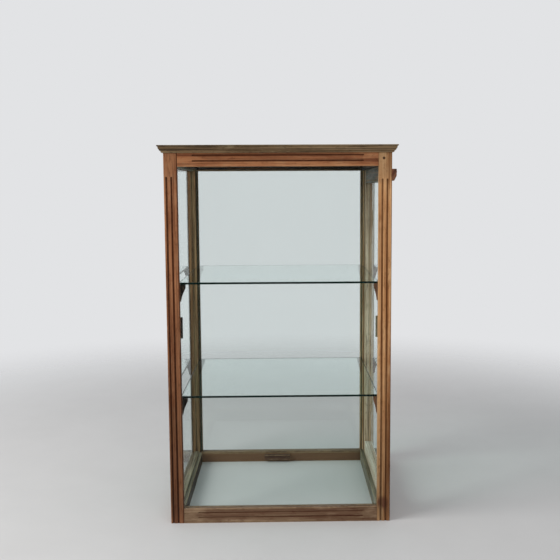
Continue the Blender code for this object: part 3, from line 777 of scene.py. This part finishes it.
def build_bead(node, side, level):
    """A glazing bead, rounded over on its inner edge. Front and rear are the levels of an upright one."""
    start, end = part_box(node)
    if side in ENDS:
        d0, d1 = sorted((HALF_D - abs(start.y), HALF_D - abs(end.y)))
        span = (start.x, end.x)
    else:
        d0, d1 = sorted((HALF_W - abs(start.x), HALF_W - abs(end.x)))
        span = (start.y, end.y)
    if level in ENDS:
        a0, a1 = span if level == "front" else span[::-1]
        corners = [(a0, d0, 0.5), (a1, d0, 0.5), (a1, d1, 3), (a0, d1, 0.5)]
        bar(node, {"corners": corners}, lambda y, d, z: on_side(side)(d, z, y), (start.z, end.z),
            WOODS["bead_z"], 4.4)
        return
    z0, z1 = (start.z, end.z) if level == "bottom" else (end.z, start.z)
    corners = [(d0, z0, 0.5), (d0, z1, 0.5), (d1, z1, 3), (d1, z0, 0.5)]
    family = "residue" if node == "door_bead_bottom" else "bead_x" if side in ENDS else "bead_y"
    bar(node, {"corners": corners}, on_side(side), span, WOODS[family], len(side) + len(level) * 1.7)


# Supports

def build_corbel(level, end, side):
    """A corbel: a blunt nose over a hollow underside."""
    node = f"corbel_{level}_{end}_{side}"
    start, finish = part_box(node)
    sx = 1 if side == "right" else -1
    face = (finish.x if side == "right" else start.x) + sx * GAP
    reach = finish.x - start.x + GAP
    height = finish.z - start.z
    corners = [(GAP, 0, 0.5), (reach, 0, 0.8)]
    for step in range(HOLLOW_STEPS + 1):
        t = step / HOLLOW_STEPS
        out = CORBEL_FOOT + (reach - CORBEL_FOOT) * (1 - t) ** 1.5
        rounding = 0.8 if step in (0, HOLLOW_STEPS) else 0
        corners.append((out, -CORBEL_NOSE - (height - CORBEL_NOSE) * t, rounding))
    corners.append((GAP, -height, 0.5))
    bar(node, {"corners": corners}, lambda out, up, s: Vector((face - sx * out, s, finish.z + up)),
        (start.y, finish.y), WOODS["corbel_right" if side == "right" else "dark"],
        start.x * 40 + start.z * 9, step=3 * MM)


def on_axes(axes, values):
    """A point from its coordinates along the axes in this order."""
    return Vector(value for _, value in sorted(zip(axes, values)))


def build_block(node, material, seed):
    """A small rubbed block that fills its node's box."""
    start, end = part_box(node)
    size = end - start
    a, b, axis = axes = sorted(range(3), key=lambda i: (size[i] == max(size), i))
    corners = [(start[a], start[b]), (end[a], start[b]), (end[a], end[b]), (start[a], end[b])]
    bar(node, {"corners": corners}, lambda *values: on_axes(axes, values), (start[axis], end[axis]), material,
        seed, step=4 * MM)


def build_button():
    """The button, cut away under its outer end."""
    start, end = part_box("turn_button")
    out, up = BUTTON_CHAMFER
    corners = [(start.x, end.z, 0.7), (end.x, end.z, 1.4), (end.x, start.z + up, 1.2),
               (end.x - out, start.z, 1.2), (start.x, start.z, 0.7)]
    shape = {"corners": corners, "inner": {2: 1, 3: 1}, "soiled": (1,)}
    bar("turn_button", shape, lambda x, z, s: Vector((x, s, z)), (start.y, end.y), WOODS["button"], 6.6,
        step=2 * MM)


# Glass

def edge_lines(start, end, count, rim):
    """Grid lines over a length, closer at both ends for the ground arris and the dusty border."""
    inner = [start + rim + (end - start - 2 * rim) * i / count for i in range(count + 1)]
    borders = [start + EDGE_BAND, start + DUSTY, end - DUSTY, end - EDGE_BAND]
    kept = [v for v in inner if start + CLEAR < v < end - CLEAR]
    return [start, start + rim] + borders[:2] + kept + borders[2:] + [end - rim, end]


def build_pane(node, materials, wave=0.012 * MM, rim=0.5 * MM, band=1):
    """A sheet of old glass: slightly wavy faces, ground arrises and edges. band is how many rows of faces
    have the edge's material at the ends of the first axis."""
    start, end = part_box(node)
    size = end - start
    a, b, thin = axes = sorted(range(3), key=lambda i: (size[i] == min(size), i))
    lines_a = edge_lines(start[a], end[a], round(size[a] / PANE_STEP), rim)
    lines_b = edge_lines(start[b], end[b], round(size[b] / PANE_STEP), rim)
    bm = bmesh.new()
    dust = bm.verts.layers.float.new("dirt")
    faces = []
    for sign, level in ((-1, start[thin]), (1, end[thin])):
        grid = []
        for u in lines_a:
            row = []
            for v in lines_b:
                away = min(u - start[a], end[a] - u, v - start[b], end[b] - v)
                ripple = noise.noise(Vector((u * 6 + sign * 4, v * 6, size[a] * 31)))
                dip = rim if away < 1e-7 else wave * (1 + ripple)
                vert = bm.verts.new(on_axes(axes, (u, v, level - sign * dip)))
                vert[dust] = max(0.0, min(1.0, (DUSTY - away) / (3 * MM)))
                row.append(vert)
            grid.append(row)
        faces.append(grid)
        for i in range(len(grid) - 1):
            for j in range(len(grid[0]) - 1):
                face = bm.faces.new((grid[i][j], grid[i + 1][j], grid[i + 1][j + 1], grid[i][j + 1]))
                near_end = min(i, len(grid) - 2 - i) < band or j in (0, len(grid[0]) - 2)
                face.material_index = 1 if near_end else 0
    rims = [border(grid) for grid in faces]
    for i in range(len(rims[0])):
        face = bm.faces.new((rims[0][i - 1], rims[0][i], rims[1][i], rims[1][i - 1]))
        face.material_index = 1
    bmesh.ops.recalc_face_normals(bm, faces=bm.faces)
    return piece(node, bm, materials)


def border(grid):
    """The outer loop of a grid's vertices."""
    first = [row[0] for row in grid]
    last = [row[-1] for row in grid]
    return first + grid[-1][1:] + last[-2::-1] + grid[0][-2:0:-1]


# Metal

def upright_on(centre, axis):
    """The transform that takes +Z to an axis through a centre."""
    return Matrix.Translation(centre) @ Vector(axis).to_track_quat("Z", "Y").to_matrix().to_4x4()


def lathe(profile, centre, axis, steps=28):
    """A turned skin from (radius, height) points, about an axis through its centre."""
    bm = bmesh.new()
    matrix = upright_on(centre, axis)
    wear = bm.verts.layers.float.new("wear")
    rings = []
    for index, (radius, height) in enumerate(profile):
        ring = []
        for i in range(steps):
            angle = 2 * math.pi * i / steps
            vert = bm.verts.new(matrix @ Vector((radius * math.cos(angle), radius * math.sin(angle), height)))
            vert[wear] = 0.7 if 0 < index < len(profile) - 1 else 0.2
            ring.append(vert)
        rings.append(ring)
    skin_loops(bm, rings)
    bmesh.ops.recalc_face_normals(bm, faces=bm.faces)
    return bm


def merge(*meshes):
    """Several bmeshes as one."""
    joined = bmesh.new()
    for bm in meshes:
        mesh = bpy.data.meshes.new("joined")
        bm.to_mesh(mesh)
        bm.free()
        joined.from_mesh(mesh)
        bpy.data.meshes.remove(mesh)
    return joined


def cut_slot(obj, half_size, depth, centre, axis, angle):
    """Cuts a screw's slot into its head, turned by an angle about its axis."""
    length, width = half_size
    slot = block((-length, -width, depth[0]), (length, width, depth[1]))
    matrix = upright_on(centre, axis) @ Matrix.Rotation(angle, 4, "Z")
    bmesh.ops.transform(slot, matrix=matrix, verts=slot.verts)
    carve(obj, slot)


def build_button_screw():
    """The button's screw: a domed head with a slot."""
    start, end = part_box("button_screw")
    radius = (end.y - start.y) / 2
    rise = 0.855 * MM
    centre = (end.x - 0.9 * MM, (start.y + end.y) / 2, (start.z + end.z) / 2)
    dome = ((0.92, 0.35), (0.7, 0.75), (0.35, 1.0), (0.02, 1.03))
    profile = [(radius, -0.4 * MM), (radius, 0.0)] + [(radius * share, rise * up) for share, up in dome]
    obj = piece("button_screw", lathe(profile, centre, (1, 0, 0)), [STEEL])
    cut_slot(obj, (radius * 1.2, radius * 0.13), (rise * 0.25, rise * 2), centre, (1, 0, 0), 0.5)


def knuckle(z0, z1):
    """A hinge knuckle with eased ends."""
    radius = high("hinge_upper_post_leaf").x - HINGE_AXIS.x
    ease = 0.35 * MM
    half = (z1 - z0) / 2
    profile = [(radius - ease, half), (radius, half - ease), (radius, ease - half), (radius - ease, -half)]
    return lathe(profile, (HINGE_AXIS.x, HINGE_AXIS.y, (z0 + z1) / 2), (0, 0, 1))


def leaf_plate(start, end):
    """A leaf with rounded corners and eased edges."""
    bm = block(start, end)
    upright = [e for e in bm.edges if abs(e.verts[0].co.y - e.verts[1].co.y) > 0.5 * MM]
    bmesh.ops.bevel(bm, geom=upright, offset=1.6 * MM, segments=4, affect="EDGES", profile=0.5)
    return bm


LEAF_THICK = 1.2 * MM
PLATE_SHORT = 6 * MM
SCREW_SPOTS = ((0.62, 0.16), (0.36, 0.5), (0.62, 0.84))
SCREW_PROFILE = [(r * MM, z * MM) for r, z in ((2.4, -0.6), (2.4, -0.02), (2.16, 0.06), (0.048, 0.06))]
PIN_DOME = ((0.05, 1.0), (0.6, 0.995), (0.9, 0.988), (1.0, 0.975))


def build_hinge(level):
    """A butt hinge: its pin, and two leaves with knuckles and screws, let into the post and the door."""
    pin_low, pin_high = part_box(f"hinge_{level}_pin")
    radius = (pin_high.x - pin_low.x) / 2
    half = (pin_high.z - pin_low.z) / 2
    dome = [(radius * share, half * lift) for share, lift in PIN_DOME]
    profile = dome + [(r, -z) for r, z in reversed(dome)]
    piece(f"hinge_{level}_pin", lathe(profile, (pin_low + pin_high) / 2, (0, 0, 1)), [BRASS])
    for owner in ("post", "door"):
        node = f"hinge_{level}_{owner}_leaf"
        start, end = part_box(node)
        thirds = [start.z + (end.z - start.z) * i / 3 for i in range(4)]
        y0, y1 = leaf_faces(owner)
        meshes = [leaf_plate((start.x, y0, start.z), (end.x - PLATE_SHORT, y1, end.z))]
        for number in (1,) if owner == "door" else (0, 2):
            z0 = thirds[number] + (0 if number == 0 else GAP)
            z1 = thirds[number + 1] - (0 if number == 2 else GAP)
            meshes.append(knuckle(z0, z1))
            meshes.append(block((end.x - PLATE_SHORT - 2 * MM, y0, z0),
                                (HINGE_AXIS.x - radius - 0.5 * MM, y1, z1)))
        piece(node, merge(*meshes), [BRASS])
        leaf_screws(owner, node, start, end, y0 if owner == "post" else y1)
        wood_piece = bpy.data.objects["post_rear_right_piece" if owner == "post" else "door_rear_stile_piece"]
        front, back = (MM, SEAT_ROOM) if owner == "post" else (SEAT_ROOM, MM)
        carve(wood_piece, block((start.x - SEAT_ROOM, y0 - front, start.z - SEAT_ROOM),
                                (HALF_W + MM, y1 + back, end.z + SEAT_ROOM)))


def leaf_faces(owner):
    """The lowest and highest y of a leaf, beside the gap between post and door."""
    near = HINGE_AXIS.y + (GAP / 2 if owner == "post" else -GAP / 2)
    return (near, near + LEAF_THICK) if owner == "post" else (near - LEAF_THICK, near)


def leaf_screws(owner, node, start, end, face):
    """A leaf's three countersunk screws, in one piece."""
    out = Vector((0, -1 if owner == "post" else 1, 0))
    width = end.x - PLATE_SHORT - start.x
    spots = [Vector((start.x + width * across, face, start.z + (end.z - start.z) * up))
             for across, up in SCREW_SPOTS]
    heads = [lathe(SCREW_PROFILE, spot, out, 20) for spot in spots]
    obj = piece(node, merge(*heads), [STEEL], node.replace("leaf", "screws"))
    for number, spot in enumerate(spots):
        cut_slot(obj, (2.2 * MM, 0.3 * MM), (-0.35 * MM, 0.3 * MM), spot, out, 0.4 + 1.1 * number)


def build_peg():
    """The peg's end stands a hair proud, whittled rather than turned."""
    start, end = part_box("joint_peg")
    radius = (end.x - start.x) / 2
    centre = ((start.x + end.x) / 2, start.y, (start.z + end.z) / 2)
    profile = [(radius * 0.8, -4 * MM), (radius * 0.96, 0.0), (radius * 0.9, 0.45 * MM),
               (radius * 0.5, 0.6 * MM), (radius * 0.05, 0.62 * MM)]
    bm = lathe(profile, centre, (0, -1, 0), 12)
    for vert in bm.verts:
        lift = noise.noise(vert.co * 900) * 0.12 * MM
        vert.co += Vector((lift, 0, -lift))
    piece("joint_peg", bm, [WOODS["dark"]])


# Door

def build_door_stile(end):
    """A stile of the door, with a rebate for the glass and a lip outside it."""
    node = f"door_{end}_stile"
    start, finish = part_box(node)
    depth = HALF_W - start.x
    edge, sign = (start.y, 1) if end == "front" else (finish.y, -1)
    corners = [(0, GAP), (DOOR_STILE, GAP), (DOOR_STILE, DOOR_LIP), (DOOR_STILE - REBATE, DOOR_LIP),
               (DOOR_STILE - REBATE, depth), (0, depth)]
    shape = {"corners": corners, "inner": {2: 2, 3: 1, 4: 1}, "soiled": (5,)}
    bar(node, shape, lambda w, d, z: Vector((HALF_W - d, edge + sign * w, z)), (start.z, finish.z),
        WOODS["door_z"], 5 + sign)


def build_door_rail(level):
    """A rail of the door, with the stiles' section and tenons into their rebates."""
    node = f"door_{level}_rail"
    start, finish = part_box(node)
    depth = HALF_W - low("door_front_stile").x
    outer, edge = (finish.z, start.z) if level == "top" else (start.z, finish.z)
    seat = edge + (REBATE if level == "top" else -REBATE)
    corners = [(GAP, outer), (GAP, edge), (DOOR_LIP, edge), (DOOR_LIP, seat), (depth, seat), (depth, outer)]
    tenon = (DOOR_LIP + GAP, depth, *sorted((outer, seat)))
    inner = {2: 1 if level == "bottom" else 2, 3: 1, 4: 1}
    bar(node, {"corners": corners, "inner": inner}, on_side("right"), (start.y + REBATE, finish.y - REBATE),
        WOODS["door_sill" if level == "bottom" else "door_y"], 9.1 + outer, tenon, REBATE)


# Stage

BACKDROP = tone(226, 227, 229)
FRONT_MIRRORED = tone(40, 41, 42)
AMBIENT = (0.52, 0.53, 0.55, 1.0)
MIDDLE = (0, 0, 0.5)
CAMERA_PLACE = (0.015, -2.2476, 0.8309)
CAMERA_LENS = 53.04
CAMERA_SHIFT = -0.0399
CAMERA_TURN = (-0.021, 0.1085, -0.0047)


def build_floor():
    """A pale floor that fades out into the backdrop. Seen in reflections, its part in front of the case is
    dark: a painted reflection for the panes.
    """
    g = Graph("floor_pale")
    away = g.add("VectorMath", {0: g.place}, operation="LENGTH").outputs["Value"]
    speck = g.noise((6, 6, 6), 4, 0.6, 1)
    colour = g.mix(speck, tone(206, 205, 204), tone(214, 213, 212))
    mirrored = g.math("GREATER_THAN", g.add("LightPath").outputs["Glossy Depth"], 0.5)
    ahead = g.math("MULTIPLY", mirrored, g.span(g.axis("Y"), -HALF_D, -2 * HALF_D))
    colour = g.mix(ahead, colour, FRONT_MIRRORED)
    matt = g.surface(colour, 0.8, Specular_IOR_Level=0.2)
    gone = g.add("BsdfTransparent").outputs[0]
    shader = g.add("MixShader", {0: g.span(away, 1.0, 2.6), 1: matt, 2: gone}).outputs[0]
    bm = bmesh.new()
    bmesh.ops.create_circle(bm, cap_ends=True, segments=64, radius=3.0)
    floor = mesh_object("floor", bm, [g.finish(shader)])


def build_world():
    """A pale backdrop, a dimmer soft light for matt surfaces, and a dark front for the panes to mirror."""
    g = Graph("studio", "worlds")
    bpy.context.scene.world = g.owner
    g.owner.cycles.sampling_method = "NONE"
    path = g.add("LightPath").outputs
    ahead = g.add("SeparateXYZ", {0: g.coords["Generated"]}).outputs["Y"]
    front = g.add("MapRange", {"Value": ahead, "From Min": 0.1, "From Max": -0.5}).outputs["Result"]
    mirrored = g.math("GREATER_THAN", path["Glossy Depth"], 0.5)
    seen = g.mix(g.math("MULTIPLY", front, mirrored), BACKDROP, FRONT_MIRRORED)
    colour = g.mix(path["Is Diffuse Ray"], seen, AMBIENT)
    g.add("OutputWorld", {"Surface": g.add("Background", {"Color": colour}).outputs[0]})


def soft_light(name, place, size, power, colour=(1, 1, 1)):
    """A soft lamp aimed at the middle of the case. Neither the camera nor the glass sees it."""
    data = bpy.data.lights.new(name, "AREA")
    data.shape = "RECTANGLE"
    data.size, data.size_y = size
    data.energy = power
    data.color = colour
    obj = add_object(name, data)
    obj.location = place
    obj.rotation_euler = (Vector(MIDDLE) - Vector(place)).to_track_quat("-Z", "Y").to_euler()
    for ray in ("camera", "transmission", "glossy"):
        setattr(obj, "visible_" + ray, False)


def build_camera():
    """Camera at the photograph's viewing angle, turned by its yaw, pitch down and roll in radians."""
    yaw, pitch, roll = CAMERA_TURN
    right = Vector((math.cos(yaw), math.sin(yaw), 0))
    level = Vector((-math.sin(yaw), math.cos(yaw), 0))
    up = Vector((0, 0, 1))
    forward = level * math.cos(pitch) - up * math.sin(pitch)
    above = up * math.cos(pitch) + level * math.sin(pitch)
    side = right * math.cos(roll) + above * math.sin(roll)
    above = above * math.cos(roll) - right * math.sin(roll)
    matrix = Matrix((side, above, -forward)).transposed().to_4x4()
    data = bpy.data.cameras.new("camera")
    data.lens = CAMERA_LENS
    data.sensor_width = 36.0
    data.shift_x = CAMERA_SHIFT
    camera = add_object("camera", data)
    camera.matrix_world = Matrix.Translation(CAMERA_PLACE) @ matrix
    bpy.context.scene.camera = camera


# Build

for corner in CORNERS:
    build_post(*corner)
for each in SIDES:
    build_rail(each, "top")
    build_rail(each, "bottom")
    build_cornice(each)
build_top()
for each in SIDES[:3]:
    build_pane(f"{each}_glass", [PANE, PANE_EDGE])
    for bead in LEVELS:
        build_bead(f"{each}_glass_bead_{bead}", each, bead)
build_pane("door_glass", [PANE, PANE_EDGE])
for each in LEVELS + ENDS:
    build_bead(f"door_bead_{each}", "right", each)
for shelf_level in ("upper", "lower"):
    build_pane(f"{shelf_level}_shelf", [SHELF, SHELF_EDGE], 0.01 * MM, 0.8 * MM, 2)
    for corner in CORNERS:
        build_corbel(shelf_level, *corner)
build_block("pane_cleat_left", WOODS["dark"], 3.3)
build_block("pane_cleat_right", WOODS["cleat_right"], 5.3)
build_block("base_block", WOODS["base"], 8.3)
for each in ENDS:
    build_door_stile(each)
for each in LEVELS:
    build_door_rail(each)
build_hinge("upper")
build_hinge("lower")
build_button()
build_button_screw()
build_peg()
build_floor()
build_world()
soft_light("key", (-2.6, -1.2, 1.9), (1.8, 2.2), 70, (1.0, 0.99, 0.97))
soft_light("fill", (0.9, -3.2, 1.6), (2.4, 1.8), 22)
build_camera()
bpy.context.scene.view_settings.view_transform = "Standard"
